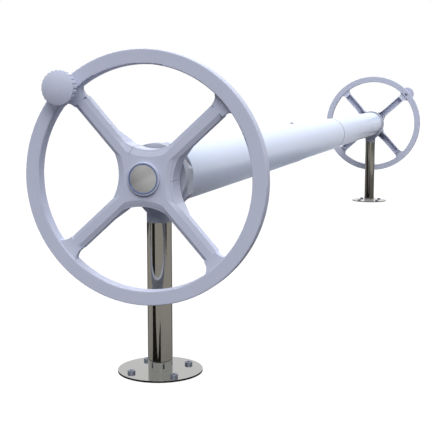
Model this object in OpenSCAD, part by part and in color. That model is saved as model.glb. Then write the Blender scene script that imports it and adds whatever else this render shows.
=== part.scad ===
// Pool cover reel: a telescopic roller carried between two floor pedestals, with a handwheel at each end.
// X runs along the roller, Z is up, and the origin is on the floor midway between the posts.

/* [Reel] */
// Distance between the axes of the two posts
post_span = 3200; // [3000:10:3700]
// Height of the roller's axis above the floor
axle_height = 405; // [360:5:700]

/* [Roller tubes] */
// Outside diameter of the outer tube, on the near side
outer_tube_d = 128; // [126:0.5:132]
// Wall of the three tubes
tube_wall = 1.7; // [1.2:0.1:2.4]
// Gap all round between a tube and the next one inside it
tube_slide_gap = 0.3; // [0.3:0.05:0.5]
// Length of the outer tube
outer_tube_l = 1242; // [1000:10:1300]
// Length of the middle tube
middle_tube_l = 1200; // [1100:10:1250]
// Stretch of the middle tube that shows past the outer one
middle_tube_show = 690; // [500:10:800]
// Length of the inner tube, on the far side
inner_tube_l = 1812; // [1700:10:1850]
// From the post's axis to the end of the roller tube
tube_start = 28; // [28:0.5:34]

/* [Tube plugs] */
// Length of the plug inside each roller end
plug_l = 70; // [60:5:90]
// Thickness of the plug's closed front
plug_front_t = 26; // [22:1:32]
// Outside diameter of the plug's centre
plug_core_d = 60; // [50:2:70]
// Thickness of the plug's outer ring
plug_ring_t = 8; // [6:1:12]
// Ribs between the plug's centre and its ring
plug_ribs = 6; // [4:1:8]
// Thickness of those ribs
plug_rib_t = 5; // [4:0.5:6]
// Screws that hold each plug
plug_screws = 3; // [3:1:4]
// Shank of a plug screw
plug_screw_d = 6; // [5:0.5:8]
// Length of a plug screw
plug_screw_l = 20; // [16:1:24]
// Diameter of its countersunk head
plug_screw_head_d = 11; // [10:0.5:13]
// From the tube's end to the screws
plug_screw_in = 13; // [10:1:15]

/* [Lock screws] */
// Shank of a lock screw
lock_screw_d = 6; // [5:0.5:8]
// Diameter of its dome head
lock_head_d = 14; // [12:0.5:18]
// Height of its dome head
lock_head_h = 4; // [3:0.5:6]
// From the tube's end to the lock screw
lock_screw_in = 20; // [15:1:40]

/* [Base plates] */
// Diameter of a base plate
plate_d = 175; // [160:1:220]
// Thickness of a base plate
plate_t = 4; // [3:0.5:8]
// Diameter of the circle of anchor screws
anchor_pcd = 130; // [118:1:142]
// Number of anchor screws in each plate
anchor_count = 4; // [3:1:6]
// Shank of an anchor screw
anchor_d = 10; // [8:0.5:12]
// Gap all round an anchor screw in its hole
anchor_gap = 0.5; // [0.25:0.05:1]
// Diameter of its cylinder head
anchor_head_d = 16; // [15:0.5:20]
// Height of its cylinder head
anchor_head_h = 5; // [4:0.5:8]
// Width across flats of its hexagon socket
anchor_socket_af = 6; // [5:0.5:8]
// Depth of its hexagon socket
anchor_socket_h = 2.5; // [2:0.25:3.5]

/* [Posts] */
// Outside diameter of a post
post_d = 50.8; // [48:0.1:60.3]
// Wall of a post
post_wall = 1.5; // [1.2:0.1:3]

/* [Bearing heads] */
// Width across flats of the octagonal head
head_af = 127; // [120:1:140]
// From the post's axis out to the octagon's front face
head_front = 4; // [0:0.5:10]
// From the post's axis in to the octagon's back face
head_back = 25.4; // [24:0.1:26]
// How far the octagon's centre lies below the roller's axis
head_drop = 12; // [8:0.5:16]
// Diameter of the round boss in front of the octagon
boss_d = 132; // [124:1:140]
// From the post's axis out to the boss's front face
boss_front = 25.4; // [22:0.1:26]
// Height of the collar between the octagon and the post
collar_h = 18.5; // [12:0.5:30]
// How far the collar's spigot reaches down the post
spigot_l = 60; // [40:5:90]

/* [Bearings] */
// Diameter of the axle
axle_d = 25; // [20:0.5:28]
// Running gap all round the axle in its bushes
axle_gap = 0.05; // [0.02:0.01:0.09]
// Outside diameter of a bush
bush_d = 32; // [30:0.5:36]
// Outside diameter of a bush's flange
bush_flange_d = 42; // [38:1:48]
// Thickness of a bush's flange
bush_flange_t = 2; // [1.5:0.1:2.2]
// Half the gap between the two bushes of a head
bush_half_gap = 1; // [0.5:0.5:5]
// Play between a bush's flange and what turns beside it
thrust_gap = 0.6; // [0.3:0.1:0.9]

/* [Handwheel rim] */
// Outside diameter of the handwheel
wheel_d = 495; // [470:1:520]
// Width of the rim's section, across the wheel
rim_w = 28.5; // [26:0.5:34]
// Depth of the rim's section, along the axle
rim_t = 27.5; // [25:0.5:32]
// Radius of the rim's edges
rim_edge_r = 3; // [1:0.25:6]
// From the post's axis out to the rim's front face
rim_front = 96; // [94:0.5:100]
// How far the wheel is turned at rest
wheel_turn = 3; // [0:1:20]

/* [Handwheel hub] */
// From the post's axis out to the hub's front face
hub_front = 82; // [80:0.5:84]
// Depth of the hub's side walls, with its front
hub_depth = 50; // [46:0.5:52]
// Radius of the four hollow sides of the hub
hub_hollow_r = 100; // [90:1:110]
// From the axle's centre to the middle of a hollow side
hub_waist_r = 56; // [53:0.5:58]
// Width of the bevel along a hollow side
hub_bevel_w = 13.5; // [10:0.5:16]
// Depth of the bevels of the hub and of the spokes
bevel_h = 7; // [5:0.5:8]
// From the axle's centre to the hub's corners, inside the spokes
hub_corner_r = 84; // [82:0.5:90]
// Wall of the hub's sides
hub_wall = 4; // [3:0.25:5]
// Thickness of the hub's front
hub_skin = 5; // [4:0.25:6]
// Outside diameter of the boss round the axle
hub_core_d = 58; // [54:1:64]
// Ribs between that boss and the hollow sides
hub_rib_t = 4; // [3:0.5:6]
// From the hub's back to those ribs
hub_rib_in = 8; // [4:1:15]
// Diameter of the pocket under the cap
pocket_d = 50; // [48:0.5:52]
// Depth of the pocket under the cap
pocket_h = 16; // [14:0.5:18]

/* [Spokes] */
// Number of spokes
spokes = 4; // [4:1:4]
// Half the width of a spoke
spoke_half_w = 15.5; // [14:0.25:17]
// Half the width of the flat along its front
spoke_flat_half_w = 7.5; // [5:0.25:9]
// Depth of a spoke's sides, with its front
spoke_depth = 26; // [22:0.5:30]
// Step from the hub's back in to the back edge of a spoke
spoke_step = 1; // [0.5:0.25:2]
// Length of the slope from there up to the spoke's back
spoke_slope_l = 26; // [15:1:40]
// Wall of the open channel behind a spoke
spoke_wall = 3; // [2.5:0.25:4]
// Length of a spoke's flared end, inside the rim
flare_l = 21.5; // [18:0.5:26]
// Half the width of that end where it meets the rim
flare_half_w = 28; // [24:0.5:30]
// From the end of the rim's rounded edge in to the front of the flared end
flare_front_in = 0.5; // [0.5:0.25:3]
// From the rim's back face in to the back of the flared end
flare_back_in = 6.5; // [4:0.5:9]

/* [Wheel fixing] */
// From the pocket's floor in to the axle's outer end
axle_set_back = 0.5; // [0.25:0.25:1]
// Diameter of the two cross pins on each axle
cross_pin_d = 8; // [6:0.5:10]
// From the hub's back to its cross pin
wheel_pin_in = 12; // [10:0.5:13]
// From the plug's front to its cross pin
plug_pin_in = 45; // [35:1:50]
// Shank of the bolt in the axle's end
wheel_bolt_d = 10; // [8:1:12]
// Width across flats of its head
wheel_bolt_af = 17; // [16:0.5:19]
// Height of its head
wheel_bolt_head_h = 6.4; // [5:0.2:7]
// How far it reaches into the axle
wheel_bolt_l = 14; // [10:0.5:15]
// Outside diameter of the washer under it
wheel_washer_d = 36; // [32:1:40]
// Thickness of that washer
wheel_washer_t = 2.5; // [2:0.25:3]

/* [Hub cap] */
// Diameter of the cap
cap_d = 66; // [62:0.5:72]
// How far the cap stands out of the hub
cap_h = 6.5; // [5:0.5:9]
// Bevel round the cap's front edge
cap_edge = 1.2; // [0.5:0.1:2]
// Thickness of the cap's face
cap_face_t = 3; // [2:0.25:4]
// Depth of the cap's skirt in the pocket
cap_skirt_h = 4; // [3:0.5:5]
// Wall of that skirt
cap_skirt_t = 2.5; // [2:0.25:3.5]
// Diameter of the disc let into the cap
disc_d = 61; // [56:0.5:62]
// Thickness of that disc
disc_t = 0.8; // [0.5:0.1:1.5]
// Gap all round that disc
disc_gap = 0.2; // [0.1:0.05:0.4]

/* [Knobs] */
// How far the knob's axis lies inside the rim's outer edge
knob_in = 14.5; // [14:0.25:16]
// Diameter of the knob over its teeth
knob_d = 69; // [60:1:80]
// Number of notches round the knob
knob_notches = 24; // [12:1:36]
// Radius of a notch
notch_r = 2.6; // [1.5:0.1:3.2]
// How deep a notch cuts in
notch_depth = 1.6; // [1:0.1:2]
// Thickness of the knob's toothed disc
knob_disc_t = 12; // [10:0.5:16]
// From the rim's front face to the back of that disc
knob_stand = 22; // [18:0.5:30]
// Diameter of the knob's stem
knob_stem_d = 25; // [22:0.5:30]
// Play between the stem and the rim
knob_play = 0.4; // [0.3:0.05:0.8]
// Diameter of the hollow for the nut, inside the knob
knob_hollow_d = 22; // [20:0.5:26]
// Depth of that hollow past the toothed disc
knob_hollow_in = 1; // [0.5:0.25:2]
// Diameter of the domed cap on the knob
dome_d = 66; // [58:1:76]
// Height of that cap at its edge
dome_edge_h = 2; // [1:0.25:4]
// Rise of its dome
dome_rise = 6; // [3:0.5:10]
// Shank of the bolt that the knob turns on
knob_bolt_d = 8; // [6:0.5:10]
// Running gap all round that bolt in the knob
knob_bolt_gap = 0.06; // [0.02:0.01:0.09]
// Diameter of its round head, behind the rim
knob_bolt_head_d = 14; // [13:0.5:18]
// Height of its round head
knob_bolt_head_h = 4.4; // [3:0.2:6]
// Outside diameter of the washer under its nut
knob_washer_d = 17; // [16:0.5:19]
// Thickness of that washer
knob_washer_t = 1.6; // [1:0.1:2]
// Width across flats of its nut
knob_nut_af = 13; // [13:0.5:15]
// Height of its nut
knob_nut_h = 6.5; // [5:0.5:8]
// How far the bolt shows past its nut
knob_bolt_show = 1.5; // [1:0.5:2]

/* [Hidden] */
$fn = 96;

steel = [0.62, 0.62, 0.60];
screw_steel = [0.45, 0.48, 0.56];
moulded_grey = [0.74, 0.76, 0.84];
tube_white = [0.93, 0.94, 0.96];
nylon = [0.88, 0.87, 0.82];
brushed = [0.70, 0.69, 0.66];

// Cutting shapes run this far past the face that they cut
over = 1;
quarter = 90;
eighth = 45;

// The tubes, from the outside in
outer_tube_id = outer_tube_d - 2 * tube_wall;
middle_tube_d = outer_tube_id - 2 * tube_slide_gap;
middle_tube_id = middle_tube_d - 2 * tube_wall;
inner_tube_d = middle_tube_id - 2 * tube_slide_gap;
inner_tube_id = inner_tube_d - 2 * tube_wall;
outer_tube_x = -post_span / 2 + tube_start;
outer_tube_end = outer_tube_x + outer_tube_l;
middle_tube_end = outer_tube_end + middle_tube_show;
inner_tube_end = post_span / 2 - tube_start;

// The head and the post
octagon_turn = 22.5;
collar_top = axle_height - head_drop - head_af / 2;
collar_bottom = collar_top - collar_h;
post_id = post_d - 2 * post_wall;

// The wheel, measured out from the post's axis along the axle
rim_mid_r = wheel_d / 2 - rim_w / 2;
rim_in_r = wheel_d / 2 - rim_w;
rim_back = rim_front - rim_t;
hub_back = hub_front - hub_depth;
hub_core_back = boss_front + bush_flange_t + thrust_gap;
hollow_centre = hub_waist_r + hub_hollow_r;
pocket_floor = hub_front - pocket_h;
spoke_end_r = rim_in_r - flare_l;
spoke_start_r = hub_core_d / 2 + hub_wall;
flare_front = rim_front - rim_edge_r - flare_front_in;
flare_back = rim_back + flare_back_in;
flare_front_r = arc_r(flare_l, flare_front - hub_front);
flare_side_r = arc_r(flare_l, flare_half_w - spoke_half_w);
spoke_back = hub_front - spoke_depth;
arm_end_r = rim_in_r + rim_edge_r;
channel_half_w = spoke_half_w - spoke_wall;
channel_flat_half_w = spoke_flat_half_w - spoke_wall / 2;

// The axle and what holds the wheel on it
axle_out = pocket_floor - axle_set_back;
axle_in = tube_start + plug_l - plug_ring_t;
wheel_pin_out = hub_back + wheel_pin_in;
plug_pin_out = -(tube_start + plug_pin_in);

// The knob, along its own axis, from the post's axis out
knob_r = wheel_d / 2 - knob_in;
knob_back = rim_front + knob_play;
knob_disc_back = rim_front + knob_stand;
knob_disc_front = knob_disc_back + knob_disc_t;
knob_floor = knob_disc_back - knob_hollow_in;
knob_washer_back = knob_floor + knob_play;
knob_nut_back = knob_washer_back + knob_washer_t;
knob_bolt_end = knob_nut_back + knob_nut_h + knob_bolt_show;
near_knob_spoke = 0;
far_knob_spoke = 3;

// Radius of an arc that leaves a line without a corner and rises by a stated amount over its run
function arc_r(run, rise) = (run * run + rise * rise) / (2 * rise);

// Frames

// Stands a child on the near or the far post's foot, with -X pointing out of the reel
module at_post(far) {
    if (far) {
        translate([post_span / 2, 0, 0]) mirror([1, 0, 0]) children();
    } else {
        translate([-post_span / 2, 0, 0]) children();
    }
}

// Turns a child so that its Z runs out along the axle from above the post's foot, and its X is up
module on_axle(far) {
    at_post(far) translate([0, 0, axle_height]) rotate([0, -quarter, 0]) children();
}

// The same, turned with the handwheel
module on_wheel(far) {
    on_axle(far) rotate([0, 0, -wheel_turn]) children();
}

// Sets a child along one spoke, which then runs out along X
module on_spoke(i) {
    rotate([0, 0, eighth + i * 360 / spokes]) children();
}

// Sets a child on the knob's axis
module on_knob(far) {
    on_wheel(far) on_spoke(far ? far_knob_spoke : near_knob_spoke) translate([knob_r, 0, 0]) children();
}

// Puts copies round the axle, the first one at the top
module round_axle(count) {
    for (i = [0 : count - 1]) rotate([0, 0, i * 360 / count]) children();
}

// Shapes

// A solid round bar along Z from one height to another
module bar(from, to, d) {
    translate([0, 0, from]) cylinder(d = d, h = to - from);
}

// A tube along Z from one height to another
module pipe(from, to, d, bore) {
    difference() {
        bar(from, to, d);
        bar(from - over, to + over, bore);
    }
}

// A prism along Z with flats of a stated width
module prism(from, to, across_flats, sides) {
    translate([0, 0, from]) cylinder(d = across_flats / cos(180 / sides), h = to - from, $fn = sides);
}

// A rectangle with round corners, centred
module round_rectangle(w, h, r) {
    square([w - 2 * r, h], center = true);
    square([w, h - 2 * r], center = true);
    for (x = [-1, 1], y = [-1, 1]) {
        translate([x * (w / 2 - r), y * (h / 2 - r)]) circle(r = r);
    }
}

// A low dome standing on Z = 0
module dome(d, h) {
    r = arc_r(d / 2, h);
    intersection() {
        translate([0, 0, h - r]) sphere(r = r);
        cylinder(d = d + over, h = h + over);
    }
}

// Pedestals

module base_plate(far) {
    color(steel) at_post(far) difference() {
        bar(0, plate_t, plate_d);
        round_anchors() bar(-over, plate_t + over, anchor_d + 2 * anchor_gap);
    }
}

// Puts copies on the circle of anchor screws
module round_anchors() {
    for (i = [0 : anchor_count - 1]) {
        rotate([0, 0, eighth + i * 360 / anchor_count]) translate([anchor_pcd / 2, 0, 0]) children();
    }
}

module anchor_screws(far) {
    color(screw_steel) at_post(far) round_anchors() difference() {
        union() {
            bar(0, plate_t + over, anchor_d);
            bar(plate_t, plate_t + anchor_head_h, anchor_head_d);
        }
        prism(plate_t + anchor_head_h - anchor_socket_h, plate_t + anchor_head_h + over, anchor_socket_af, 6);
    }
}

module post(far) {
    color(steel) at_post(far) pipe(plate_t, collar_bottom, post_d, post_id);
}

module head(far) {
    color(moulded_grey) difference() {
        union() {
            on_axle(far) translate([-head_drop, 0, 0]) rotate([0, 0, octagon_turn])
                prism(-head_back, head_front, head_af, 8);
            on_axle(far) bar(0, boss_front, boss_d);
            at_post(far) bar(collar_bottom, axle_height, post_d);
            at_post(far) bar(collar_bottom - spigot_l, collar_top, post_id);
        }
        on_axle(far) bar(-head_back - over, boss_front + over, bush_d);
    }
}

// One flanged bush, with its flange at the far end of Z
module bush(from, flange_at) {
    difference() {
        union() {
            bar(from, flange_at + over, bush_d);
            bar(flange_at, flange_at + bush_flange_t, bush_flange_d);
        }
        bar(from - over, flange_at + bush_flange_t + over, axle_d + 2 * axle_gap);
    }
}

module front_bush(far) {
    color(nylon) on_axle(far) bush(bush_half_gap, boss_front);
}

module rear_bush(far) {
    color(nylon) on_axle(far) mirror([0, 0, 1]) bush(bush_half_gap, head_back);
}

// Axle and handwheel

module axle(far) {
    color(steel) on_wheel(far) difference() {
        bar(-axle_in, axle_out, axle_d);
        bar(axle_out - wheel_bolt_l, axle_out + over, wheel_bolt_d);
        translate([0, 0, wheel_pin_out]) cross_pin_shape(hub_core_d);
        translate([0, 0, plug_pin_out]) cross_pin_shape(plug_core_d);
    }
}

// A pin across the axle, along X
module cross_pin_shape(length) {
    rotate([0, quarter, 0]) cylinder(d = cross_pin_d, h = length, center = true);
}

module rim() {
    rotate_extrude() translate([rim_mid_r, rim_front - rim_t / 2])
        round_rectangle(rim_w, rim_t, rim_edge_r);
}

// Cuts for the four hollow sides, with their bevels when the extra radius is nothing
module hollow_sides(extra) {
    for (i = [0 : spokes - 1]) rotate([0, 0, i * 360 / spokes]) translate([hollow_centre, 0, 0]) {
        bar(hub_back - 2 * over, hub_front + over, 2 * (hub_hollow_r + extra));
        if (extra == 0) {
            translate([0, 0, hub_front - bevel_h])
                cylinder(r1 = hub_hollow_r, r2 = hub_hollow_r + hub_bevel_w, h = bevel_h);
        }
    }
}

module hub_shell() {
    difference() {
        bar(hub_back, hub_front, 2 * hub_corner_r);
        hollow_sides(0);
    }
}

// The space inside the hub, open at the back
module hub_space() {
    difference() {
        bar(hub_back - over, hub_front - hub_skin, 2 * (hub_corner_r - hub_wall));
        hollow_sides(hub_wall);
        hub_ribs();
    }
}

module hub_ribs() {
    for (i = [0 : spokes - 1]) rotate([0, 0, i * 360 / spokes])
        translate([0, -hub_rib_t / 2, hub_back + hub_rib_in])
            cube([hub_corner_r, hub_rib_t, hub_depth]);
}

// Outline of a spoke and its flared end, seen from the front
module spoke_outline() {
    difference() {
        translate([spoke_start_r, -flare_half_w - flare_side_r])
            square([arm_end_r - spoke_start_r, 2 * (flare_half_w + flare_side_r)]);
        for (y = [-1, 1]) translate([0, y * (spoke_half_w + flare_side_r)]) {
            translate([spoke_end_r, 0]) circle(r = flare_side_r);
            translate([spoke_start_r - over, -flare_side_r])
                square([spoke_end_r - spoke_start_r + over, 2 * flare_side_r]);
        }
    }
}

// The same, seen from the side
module spoke_side() {
    difference() {
        polygon([
            [spoke_start_r, hub_back + spoke_step], [hub_corner_r, hub_back + spoke_step],
            [hub_corner_r + spoke_slope_l, spoke_back], [arm_end_r, spoke_back],
            [arm_end_r, flare_front + flare_l], [spoke_end_r, flare_front + flare_l],
            [spoke_end_r, hub_front], [spoke_start_r, hub_front]
        ]);
        translate([spoke_end_r, hub_front + flare_front_r]) circle(r = flare_front_r);
        translate([rim_in_r, flare_back - flare_l]) circle(r = flare_l);
        translate([rim_in_r, spoke_back - over]) square([rim_w, flare_back - spoke_back + over]);
    }
}

// Cuts for the bevels along a spoke's front
module spoke_bevels() {
    for (side = [0, 1]) mirror([0, side, 0]) rotate([quarter, 0, quarter])
        linear_extrude(spoke_end_r) polygon([
            [spoke_flat_half_w, hub_front], [spoke_half_w, hub_front - bevel_h],
            [spoke_half_w + over, hub_front - bevel_h], [spoke_half_w + over, hub_front + over],
            [spoke_flat_half_w, hub_front + over]
        ]);
}

module spoke() {
    difference() {
        intersection() {
            translate([0, 0, hub_back]) linear_extrude(rim_front - hub_back) spoke_outline();
            rotate([quarter, 0, 0]) linear_extrude(3 * flare_half_w, center = true) spoke_side();
        }
        spoke_bevels();
    }
}

// The open channel behind a spoke
module spoke_channel() {
    bevel_floor = hub_front - bevel_h - spoke_wall / 2;
    translate([spoke_start_r, 0, 0]) rotate([quarter, 0, quarter])
        linear_extrude(spoke_end_r - spoke_start_r - spoke_wall) polygon([
            [-channel_half_w, hub_back - over], [channel_half_w, hub_back - over],
            [channel_half_w, bevel_floor], [channel_flat_half_w, hub_front - spoke_wall],
            [-channel_flat_half_w, hub_front - spoke_wall], [-channel_half_w, bevel_floor]
        ]);
}

// The whole moulding, with the hole for one knob bolt
module wheel(far) {
    color(moulded_grey) on_wheel(far) difference() {
        union() {
            rim();
            difference() {
                union() {
                    hub_shell();
                    for (i = [0 : spokes - 1]) on_spoke(i) spoke();
                }
                hub_space();
                for (i = [0 : spokes - 1]) on_spoke(i) spoke_channel();
            }
            bar(hub_core_back, hub_front, hub_core_d);
        }
        bar(hub_core_back - over, hub_front + over, axle_d);
        bar(pocket_floor, hub_front + over, pocket_d);
        translate([0, 0, wheel_pin_out]) cross_pin_shape(hub_core_d + over);
        on_spoke(far ? far_knob_spoke : near_knob_spoke) translate([knob_r, 0, 0])
            bar(rim_back - over, rim_front + over, knob_bolt_d);
    }
}

module wheel_pin(far) {
    color(steel) on_wheel(far) translate([0, 0, wheel_pin_out]) cross_pin_shape(hub_core_d);
}

module wheel_washer(far) {
    color(steel) on_wheel(far)
        pipe(pocket_floor, pocket_floor + wheel_washer_t, wheel_washer_d, wheel_bolt_d);
}

module wheel_bolt(far) {
    seat = pocket_floor + wheel_washer_t;
    color(steel) on_wheel(far) {
        bar(axle_out - wheel_bolt_l, seat + over, wheel_bolt_d);
        prism(seat, seat + wheel_bolt_head_h, wheel_bolt_af, 6);
    }
}

// Hub cap

module hub_cap(far) {
    cap_front = hub_front + cap_h;
    color(moulded_grey) on_wheel(far) {
        difference() {
            union() {
                bar(hub_front, cap_front - cap_edge, cap_d);
                translate([0, 0, cap_front - cap_edge])
                    cylinder(d1 = cap_d, d2 = cap_d - 2 * cap_edge, h = cap_edge);
            }
            bar(hub_front - over, cap_front - cap_face_t - disc_t, pocket_d - 2 * cap_skirt_t);
            bar(cap_front - disc_t, cap_front + over, disc_d + 2 * disc_gap);
        }
        pipe(hub_front - cap_skirt_h, hub_front + over, pocket_d, pocket_d - 2 * cap_skirt_t);
    }
}

module cap_disc(far) {
    color(brushed) on_wheel(far) bar(hub_front + cap_h - disc_t, hub_front + cap_h, disc_d);
}

// Knob

module knob(far) {
    color(moulded_grey) on_knob(far) difference() {
        union() {
            bar(knob_back, knob_disc_back + over, knob_stem_d);
            bar(knob_disc_back, knob_disc_front, knob_d);
        }
        bar(knob_back - over, knob_disc_front, knob_bolt_d + 2 * knob_bolt_gap);
        bar(knob_floor, knob_disc_front + over, knob_hollow_d);
        for (i = [0 : knob_notches - 1]) rotate([0, 0, i * 360 / knob_notches])
            translate([knob_d / 2 + notch_r - notch_depth, 0, 0])
                bar(knob_disc_back - over, knob_disc_front + over, 2 * notch_r);
    }
}

module knob_cap(far) {
    color(moulded_grey) on_knob(far) {
        bar(knob_disc_front, knob_disc_front + dome_edge_h, dome_d);
        translate([0, 0, knob_disc_front + dome_edge_h]) dome(dome_d, dome_rise);
    }
}

module knob_bolt(far) {
    color(screw_steel) on_knob(far) {
        bar(rim_back - over, knob_bolt_end, knob_bolt_d);
        translate([0, 0, rim_back]) mirror([0, 0, 1]) dome(knob_bolt_head_d, knob_bolt_head_h);
    }
}

module knob_washer(far) {
    color(screw_steel) on_knob(far) pipe(knob_washer_back, knob_nut_back, knob_washer_d, knob_bolt_d);
}

module knob_nut(far) {
    color(screw_steel) on_knob(far) difference() {
        prism(knob_nut_back, knob_nut_back + knob_nut_h, knob_nut_af, 6);
        bar(knob_nut_back - over, knob_nut_back + knob_nut_h + over, knob_bolt_d);
    }
}

// Tube plugs

module plug(far) {
    bore = far ? inner_tube_id : outer_tube_id;
    front = -tube_start;
    back = front - plug_l;
    color(nylon) on_wheel(far) difference() {
        bar(back, front, bore);
        bar(back - over, front + over, axle_d);
        difference() {
            pipe(back - over, front - plug_front_t, bore - 2 * plug_ring_t, plug_core_d);
            for (i = [0 : plug_ribs - 1]) rotate([0, 0, i * 360 / plug_ribs])
                translate([0, -plug_rib_t / 2, back - 2 * over]) cube([bore, plug_rib_t, plug_l]);
        }
        translate([0, 0, plug_pin_out]) cross_pin_shape(plug_core_d);
        plug_screw_shapes(far);
    }
}

module plug_pin(far) {
    color(steel) on_wheel(far) translate([0, 0, plug_pin_out]) cross_pin_shape(plug_core_d);
}

// The countersunk screws that run in through the tube's wall
module plug_screw_shapes(far) {
    tube_r = (far ? inner_tube_d : outer_tube_d) / 2;
    head_h = (plug_screw_head_d - plug_screw_d) / 2;
    translate([0, 0, -tube_start - plug_screw_in]) round_axle(plug_screws)
        rotate([0, quarter, 0]) {
            bar(tube_r - plug_screw_l, tube_r, plug_screw_d);
            translate([0, 0, tube_r - head_h])
                cylinder(d1 = plug_screw_d, d2 = plug_screw_head_d, h = head_h);
        }
}

module plug_screws_set(far) {
    color(screw_steel) on_wheel(far) plug_screw_shapes(far);
}

// Roller tubes

// A tube along X at the roller's height
module roller_tube(from, to, d, bore) {
    translate([0, 0, axle_height]) rotate([0, quarter, 0]) pipe(from, to, d, bore);
}

// The hole for a lock screw, or its shank, on top of a tube
module lock_shank(tube_end, r_in, r_out) {
    translate([tube_end - lock_screw_in, 0, axle_height]) bar(r_in, r_out, lock_screw_d);
}

module lock_screw(tube_end, d, bore) {
    color(screw_steel) {
        lock_shank(tube_end, bore / 2, d / 2 + over);
        translate([tube_end - lock_screw_in, 0, axle_height + d / 2]) dome(lock_head_d, lock_head_h);
    }
}

module outer_tube() {
    color(tube_white) difference() {
        roller_tube(outer_tube_x, outer_tube_end, outer_tube_d, outer_tube_id);
        lock_shank(outer_tube_end, outer_tube_id / 2 - over, outer_tube_d / 2 + over);
        on_wheel(false) plug_screw_shapes(false);
    }
}

module middle_tube() {
    color(tube_white) difference() {
        roller_tube(middle_tube_end - middle_tube_l, middle_tube_end, middle_tube_d, middle_tube_id);
        lock_shank(middle_tube_end, middle_tube_id / 2 - over, middle_tube_d / 2 + over);
    }
}

module inner_tube() {
    color(tube_white) difference() {
        roller_tube(inner_tube_end - inner_tube_l, inner_tube_end, inner_tube_d, inner_tube_id);
        on_wheel(true) plug_screw_shapes(true);
    }
}

base_plate(false);  // near_base_plate
anchor_screws(false);  // near_anchor_screws
post(false);  // near_post
head(false);  // near_head
front_bush(false);  // near_front_bush
rear_bush(false);  // near_rear_bush
axle(false);  // near_axle
wheel(false);  // near_wheel
wheel_pin(false);  // near_wheel_pin
wheel_washer(false);  // near_wheel_washer
wheel_bolt(false);  // near_wheel_bolt
hub_cap(false);  // near_hub_cap
cap_disc(false);  // near_cap_disc
knob(false);  // near_knob
knob_cap(false);  // near_knob_cap
knob_bolt(false);  // near_knob_bolt
knob_washer(false);  // near_knob_washer
knob_nut(false);  // near_knob_nut
plug(false);  // near_plug
plug_pin(false);  // near_plug_pin
plug_screws_set(false);  // near_plug_screws
outer_tube();
lock_screw(outer_tube_end, outer_tube_d, outer_tube_id);  // outer_lock_screw
middle_tube();
lock_screw(middle_tube_end, middle_tube_d, middle_tube_id);  // middle_lock_screw
inner_tube();
base_plate(true);  // far_base_plate
anchor_screws(true);  // far_anchor_screws
post(true);  // far_post
head(true);  // far_head
front_bush(true);  // far_front_bush
rear_bush(true);  // far_rear_bush
axle(true);  // far_axle
wheel(true);  // far_wheel
wheel_pin(true);  // far_wheel_pin
wheel_washer(true);  // far_wheel_washer
wheel_bolt(true);  // far_wheel_bolt
hub_cap(true);  // far_hub_cap
cap_disc(true);  // far_cap_disc
knob(true);  // far_knob
knob_cap(true);  // far_knob_cap
knob_bolt(true);  // far_knob_bolt
knob_washer(true);  // far_knob_washer
knob_nut(true);  // far_knob_nut
plug(true);  // far_plug
plug_pin(true);  // far_plug_pin
plug_screws_set(true);  // far_plug_screws
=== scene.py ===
"""Looks for a pool cover reel: moulded wheels and heads, coated roller tubes and polished pedestals."""

import math

import bmesh
import bpy
from bpy.props import FloatProperty, FloatVectorProperty, PointerProperty
from mathutils import Matrix, Vector


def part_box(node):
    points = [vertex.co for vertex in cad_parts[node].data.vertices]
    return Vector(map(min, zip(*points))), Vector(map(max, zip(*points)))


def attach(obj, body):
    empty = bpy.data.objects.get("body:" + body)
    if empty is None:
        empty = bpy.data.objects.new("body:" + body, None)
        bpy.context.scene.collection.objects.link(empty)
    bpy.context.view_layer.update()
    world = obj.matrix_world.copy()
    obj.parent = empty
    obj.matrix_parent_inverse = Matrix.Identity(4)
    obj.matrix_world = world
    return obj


bl_info = {
    "name": "Pool Cover Reel Looks",
    "version": (1, 0, 0),
    "blender": (4, 5, 0),
    "location": "View3D > Sidebar > Reel",
    "description": "Finishes, small trim and the studio for a pool cover reel",
    "category": "Object",
}

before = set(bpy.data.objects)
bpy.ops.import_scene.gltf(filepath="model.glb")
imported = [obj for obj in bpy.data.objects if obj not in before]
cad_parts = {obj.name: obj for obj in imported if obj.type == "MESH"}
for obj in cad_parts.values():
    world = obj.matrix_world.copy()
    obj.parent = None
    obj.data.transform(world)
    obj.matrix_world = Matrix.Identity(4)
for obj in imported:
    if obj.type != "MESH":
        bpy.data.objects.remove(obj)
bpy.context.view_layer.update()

# The reel's two ends, the way out along X at each, and where its axle and posts stand
ENDS = ("near", "far")
OUTWARD = {"near": -1.0, "far": 1.0}
AXLE_HEIGHT = round((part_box("outer_tube")[0][2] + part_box("outer_tube")[1][2]) / 2, 4)
POST_X = {end: (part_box(end + "_post")[0][0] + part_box(end + "_post")[1][0]) / 2 for end in ENDS}

# Ends of the mould's joint lines on a hub, in metres across and up from the axle
HUB_LINES = (((0.0245, 0.0615), (0.0306, 0.0472)), ((-0.0525, -0.0044), (-0.0556, -0.0038)))

# Corners of the streaks that show in a post: metres from its foot, and degrees right of the camera. The
# first is a painted shadow of the reel on the floor, the second a painted dark reflection
STREAK = (
    (0.08, -70), (5.0, -70), (5.0, -42), (1.0, -42), (0.33, -33), (0.13, -20),
    (0.33, -9), (0.45, 0), (0.45, 5), (0.08, 5))
SIDE_STREAK = ((1.3, 62), (1.9, 55), (5.0, 55), (5.0, 71), (1.9, 70))

# The mat round a post, a painted reflection seen only in its steel: degrees to each side of the camera,
# degrees between corners, and inner radius
MAT_HALF_TURN = 130
MAT_STEP = 10
MAT_INNER = 0.08

# Heights of the stage's flat pieces, each a hair apart, and how much lower the far post's mats lie
FLOOR_HEIGHT = -0.0005
CARD_HEIGHT = -0.00046
MAT_HEIGHT = -0.0004
STREAK_HEIGHT = -0.0003
PLATE_MAT_HEIGHT = -0.0002
FAR_DROP = 0.00003

# Where the light of the two lamps heads, and how high they hang, which changes nothing in their light
KEY_AIM = (0.74, 0.28, -0.61)
BACK_AIM = (-0.62, -0.22, -0.75)
LAMP_HEIGHT = 3.0

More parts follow.
